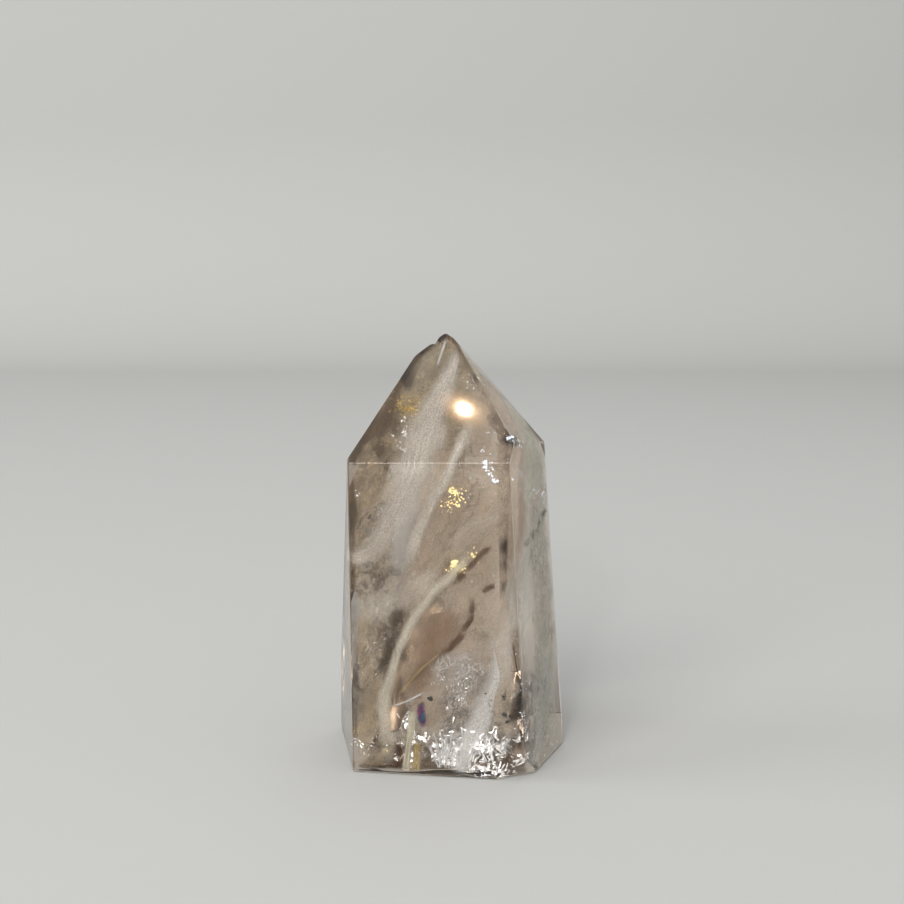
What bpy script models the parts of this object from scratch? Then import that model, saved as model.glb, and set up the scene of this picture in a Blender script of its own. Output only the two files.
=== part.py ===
"""Smoky quartz point: one piece of rock crystal, ground and polished into a short six-sided tower that stands on
its flat base and runs up to an off-centre point.

Blender 4.5, metres, +Z up. The origin is the middle of the bounding box, on the plane that the crystal stands on.
-Y is the side with the widest face, which is the one that the photograph looks at.
"""

import math

import bmesh
import bpy
from mathutils import Vector

MM = 0.001

# The stone, in millimetres and degrees. Every flat is a grinding plane with a bearing, seen from above: 0 faces -Y,
# 90 faces +X and 180 faces +Y.
HEIGHT = 59.8
BLOCK = 4.0 * HEIGHT  # the rough block that the flats are ground from

# Upright flats: bearing, lean back from upright, and distance from the stem's axis at the foot.
STEM_FLATS = {
    "front": (-8.1, 2.5, 12.9),
    "right": (66.7, 4.2, 15.45),
    "back_right": (117.5, 3.1, 14.45),
    "back": (175.4, 3.0, 14.1),
    "back_left": (-147.4, 8.7, 13.75),
    "left": (-79.9, 0.0, 15.3),
}

# One foot corner, front right, is ground away: bearing, lean and distance as above, with the foot cut under.
FOOT_FLAT = (24.5, -31.4, 15.2)

# Flats of the point: bearing, slope from level, and height at which the plane crosses the stem's axis.
POINT_FLATS = {
    "front": (-9.3, 50.0, 56.75),
    "right": (73.8, 48.8, 59.3),
    "back_right": (129.7, 59.3, 62.2),
    "back": (159.4, 52.0, 63.0),
    "back_left": (-150.0, 55.0, 65.6),
    "left": (-118.9, 75.9, 76.1),
}

EDGE_ROUND = 0.16  # polishing takes this much off every edge
EDGE_STEPS = 2

# The rounded tip, in the same terms: the point flats would meet in a short ridge, and wear has taken it off.
TIP_FLATS = (
    (0.0, 0.0, HEIGHT),
    (90.0, 22.8, 59.62),
    (90.0, 47.3, 59.72),
    (-90.0, 13.1, 59.94),
    (-90.0, 35.8, 60.4),
    (-5.0, 33.0, 58.1),
    (175.0, 33.0, 61.5),
)

# A flake is missing beside the tip. The rest of the tip stands up from it in a small wall, and the flake's own
# surface is a worn shoulder of small planes, which steepens away from the wall.
FLAKE_WALL = (-90.0, 29.6)
FLAKE_NOTCH = Vector((-2.1, 1.74, 58.39))
FLAKE_FACES = (
    (163.9, 39.8, 59.30),
    (-144.2, 44.6, 61.40),
    (-126.4, 53.4, 63.17),
    (-114.9, 62.3, 66.01),
)

# Small shell-shaped chips on the edges: the two flats that meet there, the height, the radius of the scoop and how
# deep it bites.
EDGE_CHIPS = (
    ("front", "right", 44.6, 1.5, 0.28),
    ("front", "right", 17.5, 0.9, 0.14),
    ("right", "back_right", 44.6, 1.2, 0.20),
    ("right", "back_right", 31.0, 1.1, 0.16),
    ("right", "back_right", 12.5, 1.4, 0.20),
    ("front", "left", 1.3, 1.8, 0.35),
    ("back_left", "left", 8.0, 1.2, 0.18),
    ("back", "back_right", 38.0, 1.5, 0.25),
)
SCOOP_STEPS = 2  # subdivisions of the ball that cuts a chip

SMOKY_QUARTZ = (0.36, 0.29, 0.23, 1.0)
QUARTZ_IOR = 1.544


def outward(bearing, lean):
    """The unit normal of a plane that faces a bearing and leans back from upright."""
    turn = math.radians(bearing)
    rise = math.radians(lean)
    return Vector((math.sin(turn) * math.cos(rise), -math.cos(turn) * math.cos(rise), math.sin(rise)))


def upright_plane(bearing, lean, reach):
    """A point and the normal of a flat given by its distance from the axis at the foot."""
    return outward(bearing, 0.0) * reach, outward(bearing, lean)


def sloping_plane(bearing, slope, crossing):
    """A point and the normal of a flat given by the height at which it crosses the axis."""
    return Vector((0.0, 0.0, crossing)), outward(bearing, 90.0 - slope)


def grind(stone, point, normal):
    """Cuts away all that stands outside a plane, and closes the stone with one flat face."""
    everything = stone.verts[:] + stone.edges[:] + stone.faces[:]
    cut = bmesh.ops.bisect_plane(stone, geom=everything, plane_co=point, plane_no=normal, clear_outer=True)
    rim = [item for item in cut["geom_cut"] if isinstance(item, bmesh.types.BMEdge)]
    if rim:
        bmesh.ops.edgeloop_fill(stone, edges=rim)


def rough_block():
    """A block much larger than the crystal, standing on the plane z = 0."""
    stone = bmesh.new()
    bmesh.ops.create_cube(stone, size=BLOCK)
    bmesh.ops.translate(stone, verts=stone.verts, vec=(0.0, 0.0, BLOCK / 2.0))
    return stone


def ground_crystal():
    """The tower with all its flats, its polished edges and its worn tip, in millimetres."""
    stone = rough_block()
    for flat in (*STEM_FLATS.values(), FOOT_FLAT):
        grind(stone, *upright_plane(*flat))
    for flat in POINT_FLATS.values():
        grind(stone, *sloping_plane(*flat))
    bmesh.ops.bevel(
        stone,
        geom=stone.edges[:],
        offset=EDGE_ROUND,
        offset_type="OFFSET",
        segments=EDGE_STEPS,
        profile=0.5,
        affect="EDGES",
        clamp_overlap=True,
        material=-1,
    )
    for flat in TIP_FLATS:
        grind(stone, *sloping_plane(*flat))
    return stone


def flake_cutter(face):
    """The wedge of stone above one face of the missing flake, on the outer side of its wall."""
    wedge = rough_block()
    point, normal = sloping_plane(*face)
    grind(wedge, point, -normal)
    grind(wedge, FLAKE_NOTCH, -outward(*FLAKE_WALL))
    return wedge


def edge_point(first, second, height):
    """Where two upright flats meet at a height, and the direction halfway between their normals."""
    point_a, normal_a = upright_plane(*STEM_FLATS[first])
    point_b, normal_b = upright_plane(*STEM_FLATS[second])
    reach_a = normal_a.dot(point_a) - normal_a.z * height
    reach_b = normal_b.dot(point_b) - normal_b.z * height
    across = normal_a.x * normal_b.y - normal_a.y * normal_b.x
    x = (reach_a * normal_b.y - reach_b * normal_a.y) / across
    y = (normal_a.x * reach_b - normal_b.x * reach_a) / across
    return Vector((x, y, height)), (normal_a + normal_b).normalized()


def scoop(first, second, height, radius, bite):
    """The ball that leaves a shell-shaped chip on an edge."""
    corner, away = edge_point(first, second, height)
    ball = bmesh.new()
    bmesh.ops.create_icosphere(ball, subdivisions=SCOOP_STEPS, radius=radius)
    bmesh.ops.translate(ball, verts=ball.verts, vec=corner + away * (radius - bite))
    return ball


def middle_shift(stone):
    """The move that brings the middle of the stone's footprint box to the origin."""
    xs = [corner.co.x for corner in stone.verts]
    ys = [corner.co.y for corner in stone.verts]
    return Vector((-(min(xs) + max(xs)) / 2.0, -(min(ys) + max(ys)) / 2.0, 0.0))


def finished_object(name, stone, shift):
    """Moves a stone, turns its millimetres into metres, and makes an object of it."""
    bmesh.ops.translate(stone, verts=stone.verts, vec=shift)
    bmesh.ops.scale(stone, verts=stone.verts, vec=(MM, MM, MM))
    bmesh.ops.recalc_face_normals(stone, faces=stone.faces)
    mesh = bpy.data.meshes.new(name)
    stone.to_mesh(mesh)
    stone.free()
    made = bpy.data.objects.new(name, mesh)
    bpy.context.scene.collection.objects.link(made)
    return made


def cut_with(crystal, cutter):
    """Subtracts a cutter, which itself stays out of the model."""
    cutter.hide_render = True
    cutter.display_type = "WIRE"
    removal = crystal.modifiers.new(cutter.name, "BOOLEAN")
    removal.operation = "DIFFERENCE"
    removal.solver = "EXACT"
    removal.object = cutter


def quartz_material():
    """Clear brown quartz with a polished surface."""
    quartz = bpy.data.materials.new("smoky_quartz")
    quartz.use_nodes = True
    shader = quartz.node_tree.nodes["Principled BSDF"]
    shader.inputs["Base Color"].default_value = SMOKY_QUARTZ
    shader.inputs["Roughness"].default_value = 0.04
    shader.inputs["Metallic"].default_value = 0.0
    shader.inputs["IOR"].default_value = QUARTZ_IOR
    shader.inputs["Transmission Weight"].default_value = 1.0
    return quartz


def main():
    for old in list(bpy.data.objects):
        bpy.data.objects.remove(old)
    stone = ground_crystal()
    shift = middle_shift(stone)
    crystal = finished_object("quartz_point", stone, shift)
    crystal.data.materials.append(quartz_material())
    for number, face in enumerate(FLAKE_FACES, 1):
        cut_with(crystal, finished_object(f"flake_{number}", flake_cutter(face), shift))
    for number, chip in enumerate(EDGE_CHIPS, 1):
        cut_with(crystal, finished_object(f"chip_{number}", scoop(*chip), shift))


main()
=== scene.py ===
"""Smoky quartz point: a polished six-sided tower of clear brown quartz, with white healed veils, silvery
fractures and small bright flecks inside it. Metres, +Z up, standing on z = 0, seen from -Y."""

import math
import random

import bmesh
import bpy
from mathutils import Matrix, Vector, noise
from mathutils.bvhtree import BVHTree


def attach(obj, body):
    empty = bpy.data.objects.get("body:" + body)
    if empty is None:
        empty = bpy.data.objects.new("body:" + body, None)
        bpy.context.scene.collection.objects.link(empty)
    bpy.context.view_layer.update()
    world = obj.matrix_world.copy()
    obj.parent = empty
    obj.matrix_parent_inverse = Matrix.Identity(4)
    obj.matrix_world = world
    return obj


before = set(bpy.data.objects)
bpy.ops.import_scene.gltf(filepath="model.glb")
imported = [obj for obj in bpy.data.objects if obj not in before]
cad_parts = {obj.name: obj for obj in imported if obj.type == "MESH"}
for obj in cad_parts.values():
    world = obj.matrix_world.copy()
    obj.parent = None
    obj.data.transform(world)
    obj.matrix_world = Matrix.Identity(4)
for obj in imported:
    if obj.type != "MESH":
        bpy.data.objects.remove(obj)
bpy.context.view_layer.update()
MM = 0.001

# The stone itself: one piece of rock crystal, sawn, ground flat on a lap and polished. The CAD solid has
# every flat and chip, so it stays, and gets the look of clear smoky quartz: glass-like gloss outside, brown
# by absorption inside, so that thick places are darker than thin ones.
QUARTZ_IOR = 1.544
POLISH_ROUGHNESS = 0.015
SMOKE_TINT = "#C4A780"
SMOKE_DENSITY = 31.0


def linear(hex_colour):
    """An sRGB hex colour as linear red, green, blue and alpha."""
    channels = [int(hex_colour[place : place + 2], 16) / 255.0 for place in (1, 3, 5)]
    return (*[c / 12.92 if c <= 0.04045 else ((c + 0.055) / 1.055) ** 2.4 for c in channels], 1.0)


def add_node(tree, kind, settings=None, **sockets):
    """Adds a node, with its properties from settings. Each socket takes a value, or another node's output."""
    node = tree.nodes.new(kind)
    for name, value in (settings or {}).items():
        setattr(node, name, value)
    for name, value in sockets.items():
        socket = node.inputs[int(name[1:])] if name[1:].isdigit() else node.inputs[name.replace("_", " ")]
        if isinstance(value, bpy.types.NodeSocket):
            tree.links.new(value, socket)
        else:
            socket.default_value = value
    return node


def new_material(name):
    """An empty node material and its output node."""
    made = bpy.data.materials.new(name)
    made.use_nodes = True
    made.node_tree.nodes.clear()
    return made, add_node(made.node_tree, "ShaderNodeOutputMaterial")


quartz, quartz_out = new_material("polished_smoky_quartz")
tree = quartz.node_tree
surface = add_node(
    tree,
    "ShaderNodeBsdfPrincipled",
    Base_Color=(1.0, 1.0, 1.0, 1.0),
    Roughness=POLISH_ROUGHNESS,
    IOR=QUARTZ_IOR,
    Transmission_Weight=1.0,
)
smoke = add_node(tree, "ShaderNodeVolumeAbsorption", Color=linear(SMOKE_TINT), Density=SMOKE_DENSITY)
tree.links.new(surface.outputs["BSDF"], quartz_out.inputs["Surface"])
tree.links.new(smoke.outputs["Volume"], quartz_out.inputs["Volume"])
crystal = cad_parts["quartz_point"]
crystal.material_slots[0].material = quartz

# Places inside the stone. Each is written as the photograph shows it: pixels across and down in its 904 pixel
# frame, and then millimetres of stone between the polished face and the thing, along the bent line of sight.
PHOTO_MIDDLE = 452.0
PHOTO_FOCAL = 1381.0  # pixels, the focal length of the lens below
STONE_MIDDLE = (450.0, 570.0)
PULL_IN = 0.01  # the share of the way to the stone's middle that a place just off it moves at a time
EYE = Vector((0.24, -192.85, 78.3)) * MM
LOOK_DOWN = math.radians(10.3)
SKIN_CLEARANCE = 0.35  # millimetres that every inclusion keeps from the polished faces

stone_skin = bmesh.new()
stone_skin.from_mesh(crystal.data)
skin = BVHTree.FromBMesh(stone_skin)
stone_skin.free()


def sight_line(across, down):
    """The direction from the eye through a pixel of the photograph."""
    ahead = Vector((0.0, math.cos(LOOK_DOWN), -math.sin(LOOK_DOWN)))
    upward = Vector((0.0, math.sin(LOOK_DOWN), math.cos(LOOK_DOWN)))
    right = Vector((1.0, 0.0, 0.0))
    return (
        ahead + right * (across - PHOTO_MIDDLE) / PHOTO_FOCAL - upward * (down - PHOTO_MIDDLE) / PHOTO_FOCAL
    ).normalized()


def inside(across, down, depth):
    """The point inside the stone that is seen at a pixel, and the direction in which it is seen."""
    entry = None
    while entry is None:
        ray = sight_line(across, down)
        entry, normal, _, _ = skin.ray_cast(EYE, ray)
        across += (STONE_MIDDLE[0] - across) * PULL_IN
        down += (STONE_MIDDLE[1] - down) * PULL_IN
    facing = -ray.dot(normal)
    ratio = 1.0 / QUARTZ_IOR
    away = ratio * facing - math.sqrt(1.0 - ratio**2 * (1.0 - facing**2))
    bent = (ray * ratio + normal * away).normalized()
    thickness = skin.ray_cast(entry + bent * 0.01 * MM, bent)[3]
    reach = min(max(depth, SKIN_CLEARANCE) * MM, thickness - SKIN_CLEARANCE * MM)
    return entry + bent * reach, bent


def put_in_stone(name, shape, material, smooth=True):
    """Makes an object of a mesh, gives it its material and lets it ride with the stone."""
    mesh = bpy.data.meshes.new(name)
    shape.to_mesh(mesh)
    shape.free()
    if smooth:
        mesh.shade_smooth()
    mesh.materials.append(material)
    piece = bpy.data.objects.new(name, mesh)
    bpy.context.scene.collection.objects.link(piece)
    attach(piece, "root")


# The healed veils: old cracks that grew shut and left sheets of minute bubbles, which scatter light like
# frost. Each is one thin curved sheet, so from another side it shows as a sheet and not as a band. Sizes are
# in millimetres, and a ripple is a height and a length.
SHEET_THICKNESS = 0.03
VEIL_GRID = (60, 14)
VEIL_RIPPLE = (0.5, 5.0)
RIM_WANDER_SIZE = 3.85
BUBBLE_SPACING = 1.0 / 7.0  # coarser than real bubbles, which are too fine to show
RIPPLE_SEED = 1
noise.seed_set(RIPPLE_SEED)  # so that the sheets have the same ripples in every run


def along(points, share):
    """A point on the smooth curve through a few points, at a share of the way from the first to the last."""
    place = share * (len(points) - 1)
    start = min(int(place), len(points) - 2)
    t = place - start
    before, a, b, after = (points[min(max(start + step, 0), len(points) - 1)] for step in (-1, 0, 1, 2))
    return 0.5 * (
        2.0 * a + (b - before) * t + (2.0 * before - 5.0 * a + 4.0 * b - after) * t * t
        + (3.0 * a - before - 3.0 * b + after) * t * t * t
    )


def sheet_mesh(left, right, grid, ripple, seed):
    """A thin closed sheet between two curves inside the stone, rippled by noise."""
    rows, columns = grid
    ripple_height, ripple_size = ripple
    left_points = [inside(*spot)[0] for spot in left]
    right_points = [inside(*spot)[0] for spot in right]
    shape = bmesh.new()
    bmesh.ops.create_grid(shape, x_segments=columns, y_segments=rows, size=0.5, calc_uvs=True)
    uv = shape.loops.layers.uv.verify()
    for face in shape.faces:
        for loop in face.loops:
            loop[uv].uv = (loop.vert.co.y + 0.5, loop.vert.co.x + 0.5)
    for corner in shape.verts:
        down, sideways = corner.co.y + 0.5, corner.co.x + 0.5
        edge_a, edge_b = along(left_points, down), along(right_points, down)
        point = edge_a.lerp(edge_b, sideways)
        wave = noise.noise_vector(point / (ripple_size * MM) + Vector((seed, 0.0, 0.0)))
        corner.co = point + wave * ripple_height * MM
    keep_in_stone(shape)
    bmesh.ops.solidify(shape, geom=shape.faces[:], thickness=SHEET_THICKNESS * MM)
    bmesh.ops.recalc_face_normals(shape, faces=shape.faces)
    return shape


def keep_in_stone(shape):
    """Draws back any point that has come too near a polished face."""
    for corner in shape.verts:
        nearest, normal, _, _ = skin.find_nearest(corner.co)
        room = (nearest - corner.co).dot(normal)
        if room < SKIN_CLEARANCE * MM:
            corner.co -= normal * (SKIN_CLEARANCE * MM - room)


def multiply(tree, *factors):
    """The product of several sockets or values."""
    product = factors[0]
    for factor in factors[1:]:
        product = add_node(tree, "ShaderNodeMath", {"operation": "MULTIPLY"}, _0=product,
                           _1=factor).outputs[0]
    return product


def soft_rim(tree, sideways, lengthwise, wander=0.35):
    """1 in the middle of a sheet and 0 at its rim. Each width is the share of the sheet it fades over."""
    uv = add_node(tree, "ShaderNodeUVMap").outputs["UV"]
    place = add_node(tree, "ShaderNodeTexCoord").outputs["Object"]
    drift = add_node(tree, "ShaderNodeTexNoise", Vector=place, Scale=1.0 / (RIM_WANDER_SIZE * MM),
                     Detail=1.0)
    shift = add_node(
        tree, "ShaderNodeMath", {"operation": "MULTIPLY_ADD"},
        _0=drift.outputs["Fac"], _1=wander, _2=-wander / 2,
    )
    split = add_node(tree, "ShaderNodeSeparateXYZ", Vector=uv)
    moved = add_node(tree, "ShaderNodeMath", {"operation": "ADD"}, _0=split.outputs["Y"],
                     _1=shift.outputs[0])
    fades = []
    for value, width in ((moved.outputs[0], sideways), (split.outputs["X"], lengthwise)):
        off = add_node(tree, "ShaderNodeMath", {"operation": "SUBTRACT"}, _0=value, _1=0.5)
        far = add_node(tree, "ShaderNodeMath", {"operation": "ABSOLUTE"}, _0=off.outputs[0])
        fade = add_node(
            tree, "ShaderNodeMapRange", {"interpolation_type": "SMOOTHSTEP"},
            Value=far.outputs[0], From_Min=0.5, From_Max=0.5 - width, To_Min=0.0, To_Max=1.0,
        )
        fades.append(fade.outputs[0])
    return multiply(tree, *fades)


def frost(tree, out, colour, alpha, roughness=0.7):
    """The matt pale surface of a sheet of bubbles."""
    bubbles = add_node(
        tree, "ShaderNodeBsdfPrincipled", Base_Color=linear(colour), Roughness=roughness, Alpha=alpha,
        Specular_IOR_Level=0.2,
    )
    tree.links.new(bubbles.outputs["BSDF"], out.inputs["Surface"])


FLOW_TILT = math.radians(30.0)  # the growth lines lean to the right by this much


def drawn_out(tree, place, length):
    """Object coordinates drawn out along the growth lines, so that a pattern on them is longer than wide."""
    return add_node(
        tree, "ShaderNodeMapping", {"vector_type": "TEXTURE"}, Vector=place, Rotation=(0.0, FLOW_TILT, 0.0),
        Scale=(1.0, 1.0, length),
    ).outputs[0]


def veil_material(name, colour, cover, grain=0.5, streaks=9.0, fade=0.35, ends=0.1, floor=0.4, cloud=None):
    """Frosty bubbles in a sheet, broken into streaks along it, or into clouds of a size, and grains."""
    made, out = new_material(name)
    tree = made.node_tree
    uv = add_node(tree, "ShaderNodeUVMap").outputs["UV"]
    place = add_node(tree, "ShaderNodeTexCoord").outputs["Object"]
    stretch = add_node(tree, "ShaderNodeMapping", Vector=uv, Scale=(1.6, streaks, 1.0))
    pattern, pattern_scale = stretch.outputs[0], 1.0
    if cloud:
        pattern, pattern_scale = drawn_out(tree, place, 2.2), 1.0 / (cloud * MM)
    threads = add_node(tree, "ShaderNodeTexNoise", Vector=pattern, Scale=pattern_scale, Detail=4.0,
                       Roughness=0.68)
    thread = add_node(
        tree, "ShaderNodeMapRange", Value=threads.outputs["Fac"], From_Min=0.34, From_Max=0.64,
        To_Min=floor, To_Max=1.0
    )
    grains = add_node(tree, "ShaderNodeTexNoise", Vector=place, Scale=1.0 / (BUBBLE_SPACING * MM),
                      Detail=0.0)
    grainy = add_node(
        tree, "ShaderNodeMapRange", Value=grains.outputs["Fac"], From_Min=0.40, From_Max=0.60,
        To_Min=1.0 - grain, To_Max=1.0
    )
    alpha = multiply(tree, soft_rim(tree, fade, ends), thread.outputs[0], grainy.outputs[0], cover)
    frost(tree, out, colour, alpha)
    return made


def network_material(name, colour, cover, cell, line, between, fade=0.3):
    """Fine wisps, the rims of shrunken bubbles, in a net whose cells have a size in millimetres."""
    made, out = new_material(name)
    tree = made.node_tree
    place = add_node(tree, "ShaderNodeTexCoord").outputs["Object"]
    net = add_node(
        tree, "ShaderNodeTexNoise", Vector=drawn_out(tree, place, 1.7), Scale=1.0 / (cell * MM), Detail=4.0,
        Roughness=0.62,
        Distortion=0.5,
    )
    middle = add_node(tree, "ShaderNodeMath", {"operation": "SUBTRACT"}, _0=net.outputs["Fac"], _1=0.5)
    off = add_node(tree, "ShaderNodeMath", {"operation": "ABSOLUTE"}, _0=middle.outputs[0])
    lines = add_node(
        tree, "ShaderNodeMapRange", {"interpolation_type": "SMOOTHSTEP"},
        Value=off.outputs[0], From_Min=0.0, From_Max=line, To_Min=1.0, To_Max=between,
    )
    clumps = add_node(tree, "ShaderNodeTexNoise", Vector=place, Scale=0.4 / (cell * MM), Detail=1.0)
    clump = add_node(
        tree, "ShaderNodeMapRange", Value=clumps.outputs["Fac"], From_Min=0.36, From_Max=0.60, To_Min=0.35,
        To_Max=1.0
    )
    alpha = multiply(tree, soft_rim(tree, fade, 0.15), lines.outputs[0], clump.outputs[0], cover)
    frost(tree, out, colour, alpha)
    return made


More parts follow.
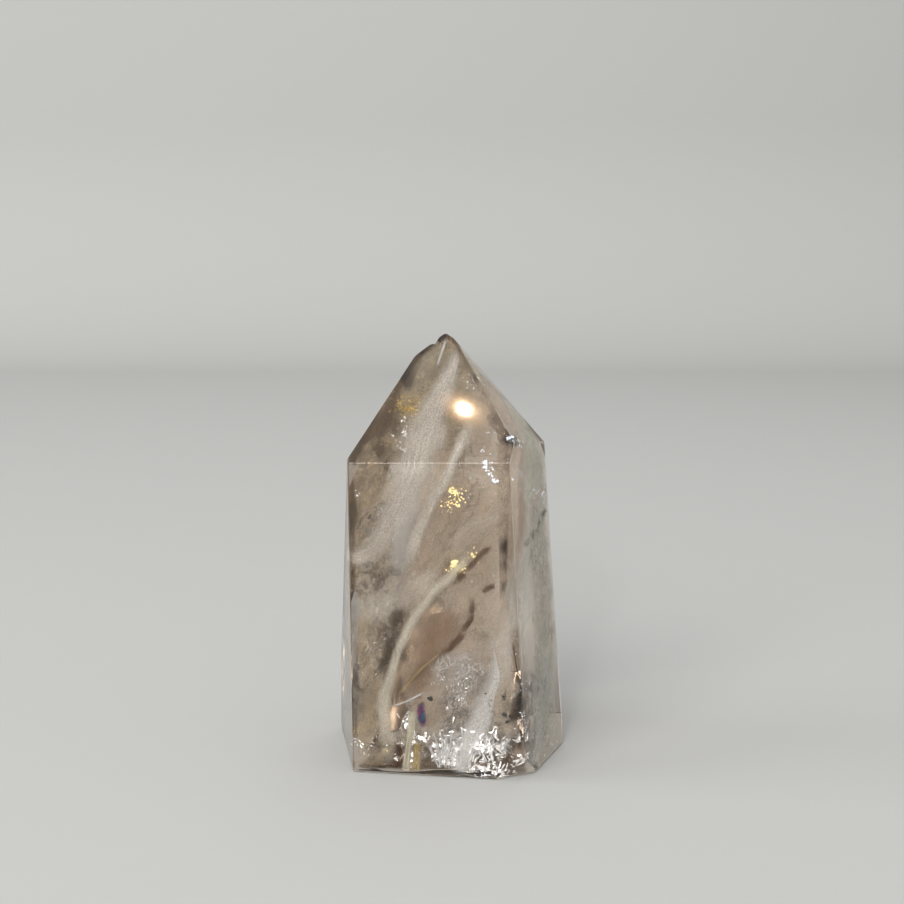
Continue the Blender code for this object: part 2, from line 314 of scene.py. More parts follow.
VEILS = {
    "broad_veil": {
        "left": ((454, 342, 1.0), (436, 372, 1.0), (421, 398, 1.0), (397, 432, 1.0), (387, 464, 1.2),
                 (379, 492, 1.4), (370, 520, 1.6), (358, 540, 1.6), (344, 550, 1.6)),
        "right": ((468, 354, 2.0), (457, 386, 2.5), (450, 408, 3), (451, 434, 3.5), (443, 464, 3.5),
                  (430, 496, 4), (416, 522, 4), (396, 552, 4), (350, 572, 3.5)),
        "look": {"colour": "#FAF3EA", "cover": 0.95, "streaks": 9.0, "fade": 0.46, "ends": 0.05,
                 "floor": 0.6, "grain": 0.45},
    },
    "slim_veil": {
        "left": ((465, 416, 1.2), (453, 446, 1.2), (442, 471, 1.2), (427, 497, 1.3), (418, 515, 1.4),
                 (409, 540, 1.4), (400, 564, 1.4)),
        "right": ((479, 424, 2), (466, 452, 2.2), (456, 474, 2.2), (441, 501, 2.5), (432, 521, 2.5),
                  (423, 543, 2.5), (414, 568, 2.5)),
        "look": {"colour": "#FFFAF0", "cover": 1.0, "streaks": 3.0, "fade": 0.42, "ends": 0.16,
                 "floor": 0.6},
    },
    "cream_veil": {
        "left": ((470, 540, 1.4), (450, 565, 1.2), (430, 585, 1.2), (414, 608, 1.2), (400, 631, 1.2),
                 (390, 653, 1.2), (382, 675, 1.2), (376, 700, 1.2), (375, 730, 1.2), (379, 768, 1.0)),
        "right": ((482, 546, 2.4), (461, 575, 2.2), (441, 593, 2), (426, 614, 2), (413, 635, 2),
                  (402, 656, 2), (395, 677, 2), (393, 700, 2.2), (395, 730, 2.2), (399, 770, 2)),
        "look": {"colour": "#FFF8E8", "cover": 1.0, "streaks": 3.0, "fade": 0.44, "ends": 0.18,
                 "grain": 0.3, "floor": 0.72},
    },
    "drift_veil": {
        "left": ((516, 486, 2), (490, 500, 2), (462, 520, 2), (440, 548, 2)),
        "right": ((520, 516, 4), (500, 530, 4), (480, 548, 4), (456, 572, 4)),
        "look": {"colour": "#F8EEDF", "cover": 0.75, "streaks": 3.0, "fade": 0.5, "ends": 0.2,
                 "floor": 0.4},
    },
    "drift_foot_veil": {
        "left": ((444, 552, 1.6), (416, 566, 1.4), (384, 578, 1.4), (350, 588, 1.4)),
        "right": ((452, 596, 2.4), (424, 614, 2.2), (390, 626, 2.2), (352, 634, 2)),
        "look": {"colour": "#FBF3E6", "cover": 0.7, "cloud": 2.6, "fade": 0.5, "ends": 0.25, "grain": 0.4,
                 "floor": 0.3},
    },
    "gold_cloud": {
        "left": ((406, 388, 1.6), (396, 398, 1.6), (388, 410, 1.6)),
        "right": ((424, 394, 2.4), (422, 406, 2.4), (414, 420, 2.4)),
        "look": {"colour": "#EBC662", "cover": 0.9, "cloud": 0.9, "fade": 0.5, "ends": 0.35, "grain": 0.7,
                 "floor": 0.0},
    },
    "peach_streak": {
        "left": ((527, 499, 0.8), (536, 491, 0.8), (547, 480, 0.8)),
        "right": ((530, 506, 1.2), (541, 497, 1.2), (551, 487, 1.2)),
        "look": {"colour": "#FFEBD8", "cover": 1.0, "streaks": 4.0, "fade": 0.45, "ends": 0.3, "grain": 0.3,
                 "floor": 0.4},
    },
    "shard_veil": {
        "left": ((412, 704, 1.2), (407, 728, 1.0), (402, 752, 0.9), (401, 774, 0.8)),
        "right": ((423, 706, 2.2), (418, 730, 2), (412, 752, 1.8), (412, 774, 1.4)),
        "look": {"colour": "#FFF8E0", "cover": 0.95, "streaks": 3.0, "fade": 0.3, "ends": 0.2, "floor": 0.4,
                 "grain": 0.2},
    },
    "back_veil": {
        "left": ((440, 400, 16), (420, 470, 18), (396, 540, 19), (372, 620, 17), (360, 700, 15)),
        "right": ((500, 400, 12), (490, 470, 22), (466, 540, 23), (440, 620, 21), (420, 700, 18)),
        "look": {"colour": "#F4ECE0", "cover": 0.5, "streaks": 6.0, "fade": 0.5, "ends": 0.2, "floor": 0.1},
    },
    "rear_veil": {
        "left": ((520, 500, 12), (506, 560, 14), (486, 630, 15), (462, 700, 14)),
        "right": ((540, 500, 18), (530, 560, 20), (512, 630, 22), (490, 700, 20)),
        "look": {"colour": "#F0E6D8", "cover": 0.5, "streaks": 5.0, "fade": 0.5, "ends": 0.2, "floor": 0.1},
    },
    "crack_line": {
        "left": ((392, 703, 0.9), (408, 697, 0.9), (424, 689, 0.9)),
        "right": ((393, 706, 1.2), (409, 700, 1.2), (425, 692, 1.2)),
        "look": {"colour": "#FFFFFF", "cover": 1.0, "streaks": 1.0, "fade": 0.4, "ends": 0.2, "floor": 0.5,
                 "grain": 0.1},
    },
    "stain_line": {
        "left": ((442, 648, 0.9), (425, 663, 0.9), (411, 676, 0.9), (396, 691, 0.9)),
        "right": ((444, 651, 1.2), (427, 666, 1.2), (413, 679, 1.2), (397, 694, 1.2)),
        "look": {"colour": "#F2E4B4", "cover": 1.0, "streaks": 1.0, "fade": 0.4, "ends": 0.2, "floor": 0.7,
                 "grain": 0.1},
    },
    "tip_streak": {
        "left": ((446, 338, 0.7), (441, 350, 0.7), (434, 366, 0.8)),
        "right": ((449, 340, 1), (444, 352, 1.1), (438, 368, 1.2)),
        "look": {"colour": "#FFFFFF", "cover": 0.8, "streaks": 2.0, "fade": 0.4, "ends": 0.3, "floor": 0.4,
                 "grain": 0.3},
    },
    "gold_shard_veil": {
        "left": ((414, 744, 1.0), (413, 758, 0.9), (412, 775, 0.8)),
        "right": ((425, 742, 2), (424, 758, 1.6), (422, 775, 1.2)),
        "look": {"colour": "#E8CC80", "cover": 0.8, "streaks": 3.0, "fade": 0.4, "ends": 0.2, "floor": 0.3,
                 "grain": 0.2},
    },
    "tip_haze": {
        "left": ((447, 331, 0.5), (420, 354, 0.7), (400, 384, 1), (384, 416, 2), (366, 450, 3)),
        "right": ((464, 336, 0.8), (482, 362, 1.4), (488, 388, 3), (484, 420, 5), (470, 452, 5)),
        "look": {"colour": "#CDBFA4", "cover": 0.6, "cloud": 4.0, "fade": 0.2, "ends": 0.04, "grain": 0.3,
                 "floor": 0.3},
    },
    "near_haze": {
        "left": ((450, 372, 4.5), (434, 420, 4.5), (420, 480, 4.5), (412, 540, 4.5), (404, 600, 4),
                 (402, 670, 4), (404, 744, 4)),
        "right": ((500, 376, 1.5), (517, 420, 1.5), (520, 480, 1.5), (521, 540, 1.5), (521, 600, 1.5),
                  (521, 670, 1.5), (520, 744, 1.5)),
        "look": {"colour": "#EAD9C4", "cover": 0.55, "cloud": 5.0, "fade": 0.12, "ends": 0.06,
                 "grain": 0.35, "floor": 0.25},
    },
    "crown_haze": {
        "left": ((458, 372, 5), (448, 400, 6), (444, 430, 7), (436, 470, 8)),
        "right": ((486, 372, 4), (506, 400, 5), (522, 430, 6), (528, 474, 6)),
        "look": {"colour": "#EEE4D6", "cover": 0.7, "cloud": 4.0, "fade": 0.3, "grain": 0.25, "floor": 0.3},
    },
    "front_haze": {
        "left": ((436, 470, 8), (420, 520, 8), (398, 570, 8), (380, 620, 8), (372, 690, 8), (372, 745, 6)),
        "right": ((528, 470, 6), (528, 520, 6), (526, 570, 6), (524, 620, 6), (522, 690, 6), (524, 745, 5)),
        "look": {"colour": "#E0CDB6", "cover": 0.65, "cloud": 6.0, "fade": 0.2, "grain": 0.2,
                 "floor": 0.35},
    },
    "left_haze": {
        "left": ((346, 432, 1.5), (346, 480, 1.5), (346, 540, 2), (347, 600, 2), (350, 680, 2),
                 (354, 768, 2)),
        "right": ((404, 420, 4), (402, 480, 4), (398, 540, 4), (396, 600, 4), (394, 680, 4), (394, 768, 4)),
        "look": {"colour": "#D8C6AA", "cover": 0.68, "cloud": 3.2, "fade": 0.12, "ends": 0.05, "grain": 0.3,
                 "floor": 0.2},
    },
    "right_haze": {
        "left": ((500, 388, 2), (520, 440, 2), (529, 520, 2), (531, 600, 2), (531, 690, 2),
                 (527, 768, 1.2)),
        "right": ((524, 392, 1.0), (561, 432, 0.8), (560, 520, 2.5), (562, 600, 3), (564, 690, 3),
                  (562, 768, 1.5)),
        "look": {"colour": "#F2EBDA", "cover": 0.78, "cloud": 3.0, "fade": 0.2, "ends": 0.06, "grain": 0.5,
                 "floor": 0.25},
    },
    # A dark brown sheet of painted shade across the foot, where the shaded table under the stone shows
    # through its base.
    "foot_haze": {
        "left": ((350, 738, 3), (352, 750, 2.5), (354, 762, 2), (356, 774, 1.2)),
        "right": ((540, 738, 4), (541, 750, 3.5), (541, 762, 2.5), (540, 774, 1.4)),
        "look": {"colour": "#9A8466", "cover": 0.85, "cloud": 2.5, "fade": 0.05, "ends": 0.1, "grain": 0.3,
                 "floor": 0.55},
    },
    "right_veil": {
        "left": ((550, 462, 1), (534, 505, 1), (518, 552, 1.5), (498, 612, 3), (480, 680, 4)),
        "right": ((562, 482, 2), (552, 528, 2), (538, 578, 2.5), (518, 640, 4), (502, 700, 5)),
        "look": {"colour": "#FFFDF6", "cover": 0.9, "streaks": 5.0, "fade": 0.45, "grain": 0.4,
                 "floor": 0.35},
    },
    "right_upper_veil": {
        "left": ((514, 424, 0.9), (524, 450, 0.9), (526, 470, 0.9), (520, 500, 0.9)),
        "right": ((540, 420, 1.4), (552, 444, 1.4), (546, 474, 1.4), (530, 512, 1.4)),
        "look": {"colour": "#F6F6E6", "cover": 0.85, "streaks": 4.0, "fade": 0.4, "grain": 0.4,
                 "floor": 0.3},
    },
    "right_foot_veil": {
        "left": ((538, 640, 0.9), (530, 690, 0.9), (524, 735, 0.9), (524, 766, 0.9)),
        "right": ((560, 640, 1.6), (562, 690, 1.6), (552, 735, 1.6), (536, 766, 1.2)),
        "look": {"colour": "#F0F4EE", "cover": 0.7, "streaks": 5.0, "fade": 0.4, "grain": 0.8,
                 "floor": 0.2},
    },
    "foot_veil": {
        "left": ((452, 775, 0.8), (459, 748, 0.9), (465, 722, 1), (472, 698, 1.2), (481, 672, 1.4),
                 (491, 645, 2), (502, 600, 3)),
        "right": ((468, 775, 1.2), (480, 750, 1.6), (493, 726, 2), (505, 700, 2.4), (514, 676, 2.4),
                  (520, 650, 3), (521, 604, 3)),
        "look": {"colour": "#FFFDFA", "cover": 1.0, "streaks": 5.0, "fade": 0.42, "ends": 0.12,
                 "floor": 0.75, "grain": 0.35},
    },
}

# The fan: seven bright rays that spread from one point low in the stone, where a crack opened in steps.
FAN_FOOT = (441, 768)
FAN_TIPS = ((426, 744, 5), (433, 733, 4), (440, 726, 5), (448, 731, 6), (455, 727, 5), (463, 738, 7),
            (470, 746, 6))
for number, (tip_across, tip_down, ray_width) in enumerate(FAN_TIPS):
    VEILS[f"fan_ray_{number + 1}"] = {
        "left": ((FAN_FOOT[0] + 2 * number - 2, FAN_FOOT[1] - 2 * number, 0.8),
                 (tip_across - ray_width / 2, tip_down, 1.6)),
        "right": ((FAN_FOOT[0] + 2 * number, FAN_FOOT[1] - 2 * number, 1.0),
                  (tip_across + ray_width / 2, tip_down, 2.4)),
        "look": {"colour": "#FFFFFF", "cover": 1.0, "streaks": 2.0, "fade": 0.3, "ends": 0.3, "floor": 0.6,
                 "grain": 0.3},
    }
for veil, plan in VEILS.items():
    shape = sheet_mesh(plan["left"], plan["right"], VEIL_GRID, VEIL_RIPPLE, len(veil))
    put_in_stone(veil, shape, veil_material(veil + "_frost", **plan["look"]))

# The nets of fibres: where a healed crack has drawn its bubbles together into fine white or brown lines. Each
# has its two edges, and then a colour, a cover, a cell size, a line width and what shows between the lines.
NET_GRID = (50, 20)
NET_RIPPLE = (0.4, 4.0)
NET_SEED = 60.0
NETS = {
    "left_net": (((347, 556, 1.2), (347, 620, 1.2), (349, 690, 1.2), (353, 762, 1.2)),
                 ((406, 548, 2.5), (404, 620, 2.5), (398, 690, 2.5), (396, 762, 2.5)),
                 ("#F2E6D4", 0.5, 1.7, 0.035, 0.12)),
    "left_brown_net": (((347, 540, 1.8), (347, 620, 1.8), (349, 690, 1.8), (353, 770, 1.6)),
                       ((410, 540, 3), (406, 620, 3), (398, 690, 3), (396, 770, 2)),
                       ("#665038", 0.62, 2.6, 0.08, 0.1)),
    "upper_net": (((346, 444, 1.5), (346, 500, 1.5), (347, 560, 1.5)),
                  ((396, 436, 3), (392, 500, 3), (400, 560, 3)), ("#EFE3CF", 0.45, 2.0, 0.04, 0.1)),
    "upper_brown_net": (((384, 410, 2), (352, 458, 2), (346, 500, 2), (347, 556, 2)),
                        ((430, 380, 3.4), (404, 440, 3.4), (394, 500, 3.4), (400, 550, 3.4)),
                        ("#6A553C", 0.55, 2.4, 0.07, 0.1)),
    "middle_net": (((396, 548, 3), (400, 610, 3), (420, 650, 3)),
                   ((520, 480, 3), (520, 560, 3), (518, 650, 3)), ("#F0E6D6", 0.35, 2.6, 0.045, 0.1)),
    "middle_brown_net": (((450, 380, 3), (434, 470, 3), (412, 560, 3), (404, 640, 3)),
                         ((514, 400, 4), (518, 480, 4), (518, 560, 4), (516, 640, 4)),
                         ("#7A6248", 0.22, 2.0, 0.05, 0.08)),
    "right_net": (((520, 470, 0.8), (527, 560, 0.8), (530, 660, 0.8), (528, 764, 0.8)),
                  ((556, 470, 1.2), (560, 560, 1.4), (564, 660, 1.4), (558, 764, 1.2)),
                  ("#F8F2E2", 0.7, 1.2, 0.05, 0.1)),
    "right_brown_net": (((516, 410, 1.4), (527, 520, 1.4), (530, 640, 1.4), (528, 766, 1.2)),
                        ((550, 420, 2.2), (560, 520, 2.4), (564, 640, 2.4), (558, 766, 1.6)),
                        ("#7A6A50", 0.38, 2.6, 0.08, 0.06)),
    "lower_net": (((424, 654, 2), (424, 700, 2), (424, 752, 2)),
                  ((520, 636, 3), (519, 700, 3), (518, 752, 2)), ("#F6F3F0", 0.85, 1.5, 0.045, 0.25)),
    "lower_grey_net": (((424, 664, 1.6), (424, 712, 1.4), (424, 756, 1.2)),
                       ((520, 650, 2.4), (519, 712, 2), (518, 756, 1.4)),
                       ("#5A5246", 0.28, 2.2, 0.06, 0.05)),
}
for net, (left, right, (colour, cover, cell, line, between)) in NETS.items():
    shape = sheet_mesh(left, right, NET_GRID, NET_RIPPLE, NET_SEED + len(net))
    put_in_stone(net, shape, network_material(net + "_fibres", colour, cover, cell, line, between))

# The fractures near the foot: open cracks with air in them, which shine like crumpled foil where they turn
# towards the light and let the stone behind show where they don't. Sizes are in millimetres.
FRACTURE_GRID = (30, 30)
FRACTURE_RIPPLE = (0.9, 1.1)
FRACTURE_SEED = 20.0
DENT_SIZE = 1.11
DENT_DEPTH = 0.2


def foil_material(name, colour, cover, patch_size, roughness=0.12, dent=0.6, low=0.42, high=0.52):
    """The mirror of an air gap, torn into patches, with dents that scatter the glints."""
    made, out = new_material(name)
    tree = made.node_tree
    place = add_node(tree, "ShaderNodeTexCoord").outputs["Object"]
    uv = add_node(tree, "ShaderNodeUVMap").outputs["UV"]
    split = add_node(tree, "ShaderNodeSeparateXYZ", Vector=uv)
    torn = add_node(tree, "ShaderNodeTexNoise", Vector=place, Scale=1.0 / (patch_size * MM), Detail=3.0,
                    Roughness=0.6)
    rim = []
    for axis in ("X", "Y"):
        off = add_node(tree, "ShaderNodeMath", {"operation": "SUBTRACT"}, _0=split.outputs[axis], _1=0.5)
        far = add_node(tree, "ShaderNodeMath", {"operation": "ABSOLUTE"}, _0=off.outputs[0])
        rim.append(add_node(tree, "ShaderNodeMath", {"operation": "POWER"}, _0=far.outputs[0],
                            _1=3.0).outputs[0])
    both = add_node(tree, "ShaderNodeMath", {"operation": "ADD"}, _0=rim[0], _1=rim[1])
    worn = add_node(
        tree, "ShaderNodeMath", {"operation": "MULTIPLY_ADD"}, _0=both.outputs[0], _1=-1.6,
        _2=torn.outputs["Fac"]
    )
    patches = add_node(
        tree, "ShaderNodeMapRange", Value=worn.outputs[0], From_Min=low, From_Max=high, To_Min=0.0,
        To_Max=cover
    )
    dents = add_node(tree, "ShaderNodeTexNoise", Vector=place, Scale=1.0 / (DENT_SIZE * MM), Detail=2.0)
    bump = add_node(tree, "ShaderNodeBump", Strength=dent, Distance=DENT_DEPTH * MM,
                    Height=dents.outputs["Fac"])
    foil = add_node(
        tree, "ShaderNodeBsdfPrincipled", Base_Color=linear(colour), Metallic=1.0, Roughness=roughness,
        Alpha=patches.outputs[0], Normal=bump.outputs[0],
    )
    tree.links.new(foil.outputs["BSDF"], out.inputs["Surface"])
    return made


silver_foil = foil_material("air_gap_silver", "#FFFFFF", 0.95, 2.38, dent=0.9, low=0.34, high=0.46)
thin_foil = foil_material("air_gap_thin", "#F6F2EA", 0.6, 1.54, low=0.42, high=0.54)
FRACTURES = {
    "fan_fracture": (((432, 770, 2), (430, 750, 3), (430, 726, 4)),
                     ((474, 770, 3), (476, 746, 5), (474, 720, 7)), silver_foil),
    "blob_fracture": (((466, 760, 2.5), (470, 744, 3.5), (476, 724, 5)),
                      ((508, 756, 4), (512, 742, 5), (514, 722, 7)), silver_foil),
    "foot_fracture": (((440, 776, 1), (450, 772, 2.5), (456, 762, 4)),
                      ((514, 775, 1.5), (514, 770, 4), (512, 756, 6)), silver_foil),
    "corner_fracture": (((498, 756, 2), (502, 740, 3), (506, 722, 4)),
                        ((524, 754, 3), (526, 736, 4), (526, 720, 5)), silver_foil),
    "mid_fracture": (((420, 728, 5), (426, 700, 6), (432, 664, 7)),
                     ((478, 722, 8), (482, 694, 9), (484, 660, 10)), thin_foil),
    "left_fracture": (((348, 772, 2), (350, 740, 3), (352, 700, 4)),
                      ((398, 772, 4), (396, 740, 6), (394, 700, 7)), thin_foil),
    "shard_fracture": (((394, 772, 1.5), (400, 736, 2), (406, 696, 3)),
                       ((430, 770, 3), (428, 736, 4), (424, 700, 5)), silver_foil),
}
for number, (fracture, (left, right, foil)) in enumerate(FRACTURES.items()):
    shape = sheet_mesh(left, right, FRACTURE_GRID, FRACTURE_RIPPLE, FRACTURE_SEED + number)
    put_in_stone(fracture, shape, foil, smooth=False)

# The stains: thin iron-brown and smoky films that seeped into a few cracks, and darken what lies behind them.
# The darkest film is painted shade instead: two dark sheets low on the right, where the stone looks dark
# because the light inside it is turned away.
# The patches of each have a size in millimetres.
STAIN_GRID = (24, 10)
STAIN_RIPPLE = (0.35, 2.0)
STAIN_SEED = 40.0


def stain_material(name, colour, cover, patch_size, low=0.30, high=0.55):
    """A thin film, thicker in patches."""
    made, out = new_material(name)
    tree = made.node_tree
    place = add_node(tree, "ShaderNodeTexCoord").outputs["Object"]
    patchy = add_node(tree, "ShaderNodeTexNoise", Vector=place, Scale=1.0 / (patch_size * MM), Detail=3.0)
    patches = add_node(
        tree, "ShaderNodeMapRange", {"interpolation_type": "SMOOTHSTEP"},
        Value=patchy.outputs["Fac"], From_Min=low, From_Max=high, To_Min=0.0, To_Max=cover,
    )
    frost(tree, out, colour, multiply(tree, soft_rim(tree, 0.5, 0.25, wander=0.5), patches.outputs[0]))
    return made


brown_film = stain_material("iron_brown_film", "#7A5026", 0.75, 1.92)
# Painted shade: a dark film for two places low on the right, where the stone looks dark because the light
# inside it is turned away.
shade_film = stain_material("painted_shade_film", "#4A4032", 0.9, 1.67, low=0.36, high=0.62)
tan_film = stain_material("iron_tan_film", "#A9835F", 0.34, 5.0, low=0.2, high=0.5)
grey_film = stain_material("grey_smoke_film", "#62503A", 0.9, 1.61, low=0.34, high=0.6)

# The rainbow film: a crack so thin that its air gap splits the light into colours, which follow the width
# of the gap in bands. It lies among the stains.
RAINBOW = ("#3A6E96", "#5A3A8C", "#A84A86", "#4E9A8E", "#D8B46A")
GAP_CHANGE_SIZE = 1.43
FIRST_BAND = 0.3
BAND_STEP = 0.1
rainbow_film, rainbow_out = new_material("rainbow_air_film")
rainbow_tree = rainbow_film.node_tree
rainbow_place = add_node(rainbow_tree, "ShaderNodeTexCoord").outputs["Object"]
rainbow_width = add_node(
    rainbow_tree, "ShaderNodeTexNoise", Vector=rainbow_place, Scale=1.0 / (GAP_CHANGE_SIZE * MM), Detail=1.0
)
rainbow_ramp = add_node(rainbow_tree, "ShaderNodeValToRGB", Fac=rainbow_width.outputs["Fac"])
bands = rainbow_ramp.color_ramp.elements
for band, band_colour in enumerate(RAINBOW):
    place_in_ramp = FIRST_BAND + BAND_STEP * band
    stop = bands[band] if band < 2 else bands.new(place_in_ramp)
    stop.position = place_in_ramp
    stop.color = linear(band_colour)
rainbow_sheen = add_node(
    rainbow_tree, "ShaderNodeBsdfPrincipled", Base_Color=rainbow_ramp.outputs["Color"], Roughness=0.3,
    Metallic=0.6, Alpha=multiply(rainbow_tree, soft_rim(rainbow_tree, 0.4, 0.3), 0.85),
)
rainbow_tree.links.new(rainbow_sheen.outputs["BSDF"], rainbow_out.inputs["Surface"])

STAINS = {
    "upper_stain": (((493, 544, 2), (484, 548, 2), (472, 558, 2), (462, 566, 2)),
                    ((494, 551, 3), (486, 556, 3), (476, 566, 3), (462, 574, 3)), brown_film),
    "spot_stain": (((446, 576, 1.5), (456, 571, 1.5), (466, 569, 1.5)),
                   ((448, 586, 2.5), (457, 585, 2.5), (468, 580, 2.5)), brown_film),
    "side_stain": (((480, 588, 2), (488, 585, 2), (495, 583, 2)),
                   ((484, 596, 3), (490, 593, 3), (496, 590, 3)), brown_film),
    "edge_painted_shade": (((500, 748, 2.2), (502, 710, 2.2), (504, 668, 2.2)),
                   ((548, 748, 2.4), (550, 710, 2.4), (550, 668, 2.4)), shade_film),
    "right_crack_stain": (((549, 498, 1.4), (537, 520, 1.4), (522, 546, 1.4)),
                          ((553, 504, 1.8), (541, 527, 1.8), (526, 552, 1.8)), grey_film),
    "long_stain": (((466, 594, 2), (470, 606, 2), (464, 620, 2), (450, 640, 1.8), (431, 656, 1.8),
                    (414, 670, 1.8), (394, 690, 2)),
                   ((473, 594, 3), (478, 608, 3), (472, 626, 3), (458, 647, 2.8), (438, 664, 2.8),
                    (420, 679, 2.8), (400, 697, 3)),
                   brown_film),
    "left_smoke": (((344, 600, 0.9), (344, 650, 0.9), (346, 716, 0.9)),
                   ((416, 584, 1.6), (404, 646, 1.6), (388, 716, 1.6)), grey_film),
    "right_painted_shade": (((478, 752, 2), (482, 715, 2), (488, 672, 2)),
                    ((530, 752, 1), (530, 715, 1), (530, 672, 1)), shade_film),
    "corner_smoke": (((386, 604, 1), (388, 640, 1), (360, 676, 1)),
                     ((412, 604, 1.6), (400, 640, 1.6), (392, 676, 1.6)), grey_film),
    "tan_film": (((420, 604, 0.9), (404, 650, 0.9), (394, 700, 0.9)),
                 ((476, 604, 1.4), (458, 650, 1.4), (428, 700, 1.4)), tan_film),
    "patch_smoke": (((462, 642, 4), (466, 628, 4), (470, 614, 4)),
                    ((490, 642, 6), (494, 630, 6), (490, 614, 6)), grey_film),
    "rainbow_film": (((417, 702, 1.2), (417, 714, 1.2), (419, 728, 1.2)),
                     ((427, 700, 1.8), (427, 713, 1.8), (425, 728, 1.8)), rainbow_film),
    "foot_smoke": (((350, 775, 1), (350, 755, 1.5), (350, 738, 2)),
                   ((430, 776, 1.5), (430, 758, 2.5), (430, 738, 3)), brown_film),
}
for number, (stain, (left, right, film)) in enumerate(STAINS.items()):
    shape = sheet_mesh(left, right, STAIN_GRID, STAIN_RIPPLE, STAIN_SEED + number)
    put_in_stone(stain, shape, film)

# The flecks: flakes of crack no bigger than a grain of salt that happen to face the lamps, some stained gold,
# and made bright also by a painted glint, a glow of their own.
# Each spot has its place, a flake size in millimetres, a count and how far they spread, in pixels.
LAMP_SIDE = Vector((-0.15, -0.93, 0.33)).normalized()
DEPTH_SPREAD = 0.4
FLAKE_THINNESS = 0.2
FLAKE_ROUGH_EDGE = 0.12


def fleck_group(name, spots, material, jitter, seed, stretch=1.0):
    """Small irregular flakes, each turned to throw lamp light at the viewer, give or take some jitter."""
    draw = random.Random(seed)
    shape = bmesh.new()
    for across, down, depth, size, count, spread in spots:
        for _ in range(count):
            point, bent = inside(
                across + draw.gauss(0.0, spread), down + draw.gauss(0.0, spread),
                depth + draw.gauss(0.0, DEPTH_SPREAD),
            )
            facing = (LAMP_SIDE - bent).normalized()
            facing = (facing + Vector([draw.gauss(0.0, jitter) for _ in range(3)])).normalized()
            turn = facing.to_track_quat("Z", "Y").to_matrix().to_4x4()
            turn = Matrix.Translation(point) @ turn @ Matrix.Rotation(draw.uniform(0.0, 6.28), 4, "Z")
            radius = size * draw.uniform(0.5, 1.0) * MM
            flake = bmesh.ops.create_cone(
                shape, cap_ends=True, segments=draw.choice((4, 5, 6)), radius1=radius, radius2=radius * 0.7,
                depth=radius * FLAKE_THINNESS,
                matrix=turn @ Matrix.Diagonal((stretch, draw.uniform(0.35, 0.9), 1.0, 1.0)),
            )
            for corner in flake["verts"]:
                corner.co += Vector([draw.gauss(0.0, FLAKE_ROUGH_EDGE) for _ in range(3)]) * radius
    keep_in_stone(shape)
    bmesh.ops.recalc_face_normals(shape, faces=shape.faces)
    put_in_stone(name, shape, material, smooth=False)


def flake_material(name, colour, roughness, painted_glint):
    """A mirror-bright flake that throws back the lamps, with a painted glint: it glows in its own colour, so
    that it shines from every side.
    """
    made, out = new_material(name)
    flake = add_node(
        made.node_tree, "ShaderNodeBsdfPrincipled", Base_Color=linear(colour), Metallic=1.0,
        Roughness=roughness, Emission_Color=linear(colour), Emission_Strength=painted_glint,
    )
    made.node_tree.links.new(flake.outputs["BSDF"], out.inputs["Surface"])
    return made


fleck_group(
    "gold_flecks",
    (
        (453, 491, 3, 0.32, 16, 2.2), (457, 498, 3, 0.20, 30, 3.8), (447, 505, 3, 0.16, 22, 3.6),
        (456, 564, 3, 0.32, 18, 2.4), (461, 569, 3, 0.24, 18, 2.8), (473, 555, 3, 0.20, 16, 2.8),
        (450, 572, 3, 0.18, 16, 3.4), (548, 652, 3, 0.30, 6, 1.8), (535, 707, 3, 0.22, 5, 1.5),
        (386, 750, 3, 0.28, 8, 3.0), (455, 707, 8, 0.2, 4, 2.0),
    ),
    flake_material("gold_stained_flake", "#FFF1B4", 0.22, 0.75), 0.2, 5,
)
fleck_group(
    "brown_gold_flecks",
    ((400, 402, 3, 0.13, 30, 5.0), (410, 405, 3, 0.17, 60, 5.4), (418, 398, 3, 0.16, 30, 4.0),
     (413, 414, 3, 0.15, 36, 4.0)),
    flake_material("brown_gold_flake", "#E6C468", 0.3, 0.42), 0.3, 3,
)
# Painted shade and light: dark flakes paint the dark ring that a bubble shows where light bends away from it,
# and a few dark patches low in the stone; pale glowing flakes paint the bright middle of the bubble.
fleck_group(
    "bubble_painted_dark_rim",
    ((509, 439, 1.8, 0.85, 2, 0.3), (430, 699, 1.2, 0.5, 3, 0.8), (505, 716, 1.0, 0.5, 4, 3.0),
     (498, 700, 1.0, 0.4, 4, 4.0)),
    flake_material("painted_shade_flake", "#4A4A48", 0.3, 0.0), 0.3, 21,
)
fleck_group(
    "bubble",
    ((509, 438, 0.8, 0.55, 3, 0.3),), flake_material("bubble_painted_light_flake", "#C8D6E4", 0.25, 0.3), 0.15, 22,
)
fleck_group(
    "white_flecks",
    (
        (483, 451, 3, 0.12, 6, 1.5), (485, 465, 3, 0.16, 10, 2.0), (489, 472, 3, 0.20, 12, 2.2),
        (495, 480, 3, 0.24, 8, 1.6), (487, 432, 4, 0.16, 3, 1.0), (521, 447, 2, 0.22, 5, 1.4),
        (357, 493, 2, 0.12, 7, 2.4), (383, 510, 3, 0.12, 8, 2.4), (472, 387, 3, 0.10, 12, 6.0),
        (468, 378, 3, 0.10, 10, 5.0), (404, 430, 3, 0.12, 16, 6.0), (403, 445, 3, 0.12, 14, 6.0),
        (535, 491, 0.7, 0.18, 16, 4.0), (542, 496, 0.7, 0.16, 12, 3.0), (540, 560, 0.8, 0.09, 26, 9.0),
        (538, 720, 0.8, 0.11, 70, 13.0), (470, 600, 3, 0.07, 40, 30.0), (480, 440, 3, 0.07, 40, 18.0),
        (500, 500, 3, 0.07, 40, 22.0), (440, 500, 3, 0.07, 40, 18.0), (370, 650, 2, 0.07, 40, 24.0),
        (500, 640, 3, 0.07, 40, 20.0), (512, 420, 2, 0.08, 26, 9.0), (400, 560, 3, 0.07, 30, 20.0),
        (540, 610, 0.8, 0.09, 24, 14.0), (542, 665, 0.8, 0.10, 30, 12.0), (536, 445, 0.8, 0.08, 20, 10.0),
    ),
    flake_material("clear_flake", "#E6EFFF", 0.25, 0.7), 0.16, 9,
)
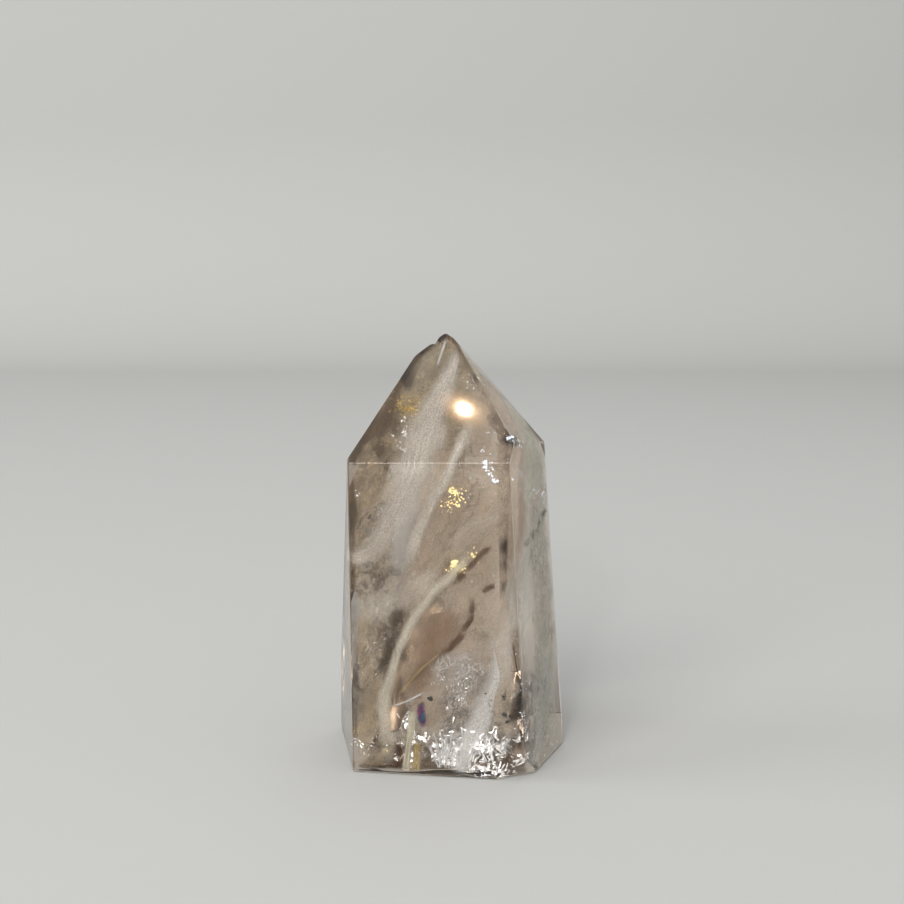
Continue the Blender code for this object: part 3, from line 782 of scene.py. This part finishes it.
fleck_group(
    "bright_shards",
    (
        (452, 752, 3, 0.34, 16, 7.0), (462, 744, 3, 0.3, 14, 6.0), (446, 758, 3, 0.3, 12, 5.0),
        (486, 744, 3, 0.34, 16, 6.0), (492, 738, 3, 0.3, 12, 5.0), (498, 770, 2, 0.3, 16, 7.0),
        (484, 768, 2, 0.28, 14, 6.0), (512, 740, 3, 0.3, 8, 4.0), (440, 748, 1.5, 0.22, 30, 9.0),
        (460, 742, 1.5, 0.24, 36, 9.0), (490, 744, 1.5, 0.28, 40, 9.0), (500, 766, 1.2, 0.22, 30, 9.0),
        (478, 744, 1.2, 0.34, 14, 5.0), (404, 420, 1.2, 0.10, 8, 1.6), (405, 434, 1.2, 0.12, 10, 1.6),
        (403, 449, 1.2, 0.10, 8, 1.6), (440, 678, 1.5, 0.10, 20, 9.0), (460, 690, 1.5, 0.10, 20, 9.0),
        (546, 740, 1.0, 0.16, 24, 9.0), (372, 745, 1.5, 0.14, 20, 9.0), (474, 762, 3, 0.3, 10, 6.0),
        (428, 698, 7, 0.28, 8, 5.0), (452, 682, 9, 0.22, 8, 8.0), (508, 696, 6, 0.25, 8, 6.0),
        (405, 722, 4, 0.3, 5, 4.0), (412, 740, 4, 0.3, 5, 4.0),
    ),
    flake_material("air_gap_shard", "#FFFFFF", 0.2, 0.35), 0.34, 13, stretch=2.6,
)

# The stage: a pale matt table that sweeps up into a pale grey wall, with no edge between them.
FLOOR_COLOUR = "#B5B5B3"
SWEEP_RADIUS = 0.12
SWEEP_START = 0.45
STAGE_WIDTH = 7.0
TABLE_DROP = 0.0002  # the polished base stands on the nap of the surface, with air under it
WALL_HEIGHT = 1.2
SWEEP_STEPS = 12
stage_mesh = bmesh.new()
profile = [Vector((-STAGE_WIDTH / 2, -STAGE_WIDTH / 2, 0.0)), Vector((-STAGE_WIDTH / 2, SWEEP_START, 0.0))]
for step in range(1, SWEEP_STEPS + 1):
    turn = math.radians(90.0 * step / SWEEP_STEPS)
    profile.append(
        Vector((-STAGE_WIDTH / 2, SWEEP_START + SWEEP_RADIUS * math.sin(turn),
                SWEEP_RADIUS * (1 - math.cos(turn))))
    )
profile.append(Vector((-STAGE_WIDTH / 2, SWEEP_START + SWEEP_RADIUS, WALL_HEIGHT)))
corners = [stage_mesh.verts.new(point) for point in profile]
edges = [stage_mesh.edges.new(pair) for pair in zip(corners, corners[1:])]
swept = bmesh.ops.extrude_edge_only(stage_mesh, edges=edges)
moved = [item for item in swept["geom"] if isinstance(item, bmesh.types.BMVert)]
bmesh.ops.translate(stage_mesh, verts=moved, vec=(STAGE_WIDTH, 0.0, 0.0))
bmesh.ops.translate(stage_mesh, verts=stage_mesh.verts, vec=(0.0, 0.0, -TABLE_DROP))
bmesh.ops.recalc_face_normals(stage_mesh, faces=stage_mesh.faces)
mesh = bpy.data.meshes.new("table_and_wall")
stage_mesh.to_mesh(mesh)
stage_mesh.free()
mesh.shade_smooth()
sweep = bpy.data.objects.new("table_and_wall", mesh)
bpy.context.scene.collection.objects.link(sweep)
matt, matt_out = new_material("pale_matt_card")
card = add_node(matt.node_tree, "ShaderNodeBsdfDiffuse", Color=linear(FLOOR_COLOUR))
matt.node_tree.links.new(card.outputs["BSDF"], matt_out.inputs["Surface"])
mesh.materials.append(matt)

# The light: a soft even room, two windows to the left, a ceiling panel, a small spark lamp that the flecks
# throw back, and a small warm lamp whose mirror image sits on the sloping front flat. The warm lamp is a
# nest of ellipses, each smaller, rounder, paler and stronger than the one around it.
ROOM_GREY = "#D3D3D2"
WARM_LAMP_SEEN_AT = (464, 409)
WARM_LAMP_DISTANCE = 0.6
WARM_LAMP_WIDTH = 0.034
WARM_LAMP_COLOURS = (
    "#FFC48A", "#FFCC98", "#FFD4A4", "#FFDCB0", "#FFE4BC", "#FFEAC8", "#FFF0D4", "#FFF4DE", "#FFF8E8",
)
RING_SHRINK = 0.82
OUTER_RING_FLATNESS = 0.58
RING_ROUNDING = 0.03
OUTER_RING_GLOW = 2.5  # watts for each square metre of the outermost ring's box
RING_GAIN = 1.5
world = bpy.data.worlds.new("soft_room")
bpy.context.scene.world = world
world.use_nodes = True
world.node_tree.nodes["Background"].inputs["Color"].default_value = linear(ROOM_GREY)
world.node_tree.nodes["Background"].inputs["Strength"].default_value = 1.0


def soft_light(name, place, target, width, height, watts, colour, shape="RECTANGLE"):
    """A soft box that faces a target, in metres."""
    lamp = bpy.data.lights.new(name, "AREA")
    lamp.shape = shape
    lamp.size = width
    lamp.size_y = height
    lamp.energy = watts
    lamp.color = linear(colour)[:3]
    holder = bpy.data.objects.new(name, lamp)
    holder.location = place
    holder.rotation_euler = (Vector(target) - Vector(place)).to_track_quat("-Z", "Y").to_euler()
    bpy.context.scene.collection.objects.link(holder)


soft_light("window_front", (-0.45, -0.95, 0.75), (0.0, 0.0, 0.03), 1.0, 0.8, 13.0, "#FFFDF8")
soft_light("window_left", (-0.95, -0.05, 0.45), (0.0, 0.0, 0.03), 0.5, 0.7, 3.2, "#F4F8FF")
soft_light("ceiling", (0.1, 0.16, 0.45), (0.0, 0.12, 0.0), 0.5, 0.25, 0.35, "#F0F6FF")
soft_light("spark_lamp", (-0.22, -0.90, 0.50), (0.0, 0.0, 0.03), 0.09, 0.09, 1.4, "#FFFFFF")
mirror_ray = sight_line(*WARM_LAMP_SEEN_AT)
mirror_at, mirror_normal, _, _ = skin.ray_cast(EYE, mirror_ray)
lamp_place = mirror_at + mirror_ray.reflect(mirror_normal) * WARM_LAMP_DISTANCE
for ring, glow_colour in enumerate(WARM_LAMP_COLOURS):
    glow_width = WARM_LAMP_WIDTH * RING_SHRINK**ring
    glow_height = glow_width * (OUTER_RING_FLATNESS + RING_ROUNDING * ring)
    glow_watts = OUTER_RING_GLOW * RING_GAIN**ring * glow_width * glow_height
    glow_place = lamp_place + (lamp_place - mirror_at) * glow_width
    soft_light(
        "warm_lamp", glow_place, mirror_at, glow_width, glow_height, glow_watts, glow_colour, "ELLIPSE"
    )

# The camera: at the photograph's place, 193 mm in front of the stone and 78 mm up. Light is followed
# through as many faces as the clear stone needs, and through every veil that it meets.
LENS = 55.0
SENSOR_WIDTH = 36.0
STONE_BOUNCES = 10
VEIL_CROSSINGS = 96
bpy.context.scene.view_settings.view_transform = "Standard"
paths = bpy.context.scene.cycles
paths.max_bounces = STONE_BOUNCES
paths.glossy_bounces = STONE_BOUNCES
paths.transmission_bounces = STONE_BOUNCES
paths.transparent_max_bounces = VEIL_CROSSINGS
view = bpy.data.cameras.new("view")
view.lens = LENS
view.sensor_width = SENSOR_WIDTH
eye = bpy.data.objects.new("view", view)
eye.location = EYE
eye.rotation_euler = (math.radians(90.0) - LOOK_DOWN, 0.0, 0.0)
bpy.context.scene.collection.objects.link(eye)
bpy.context.scene.camera = eye
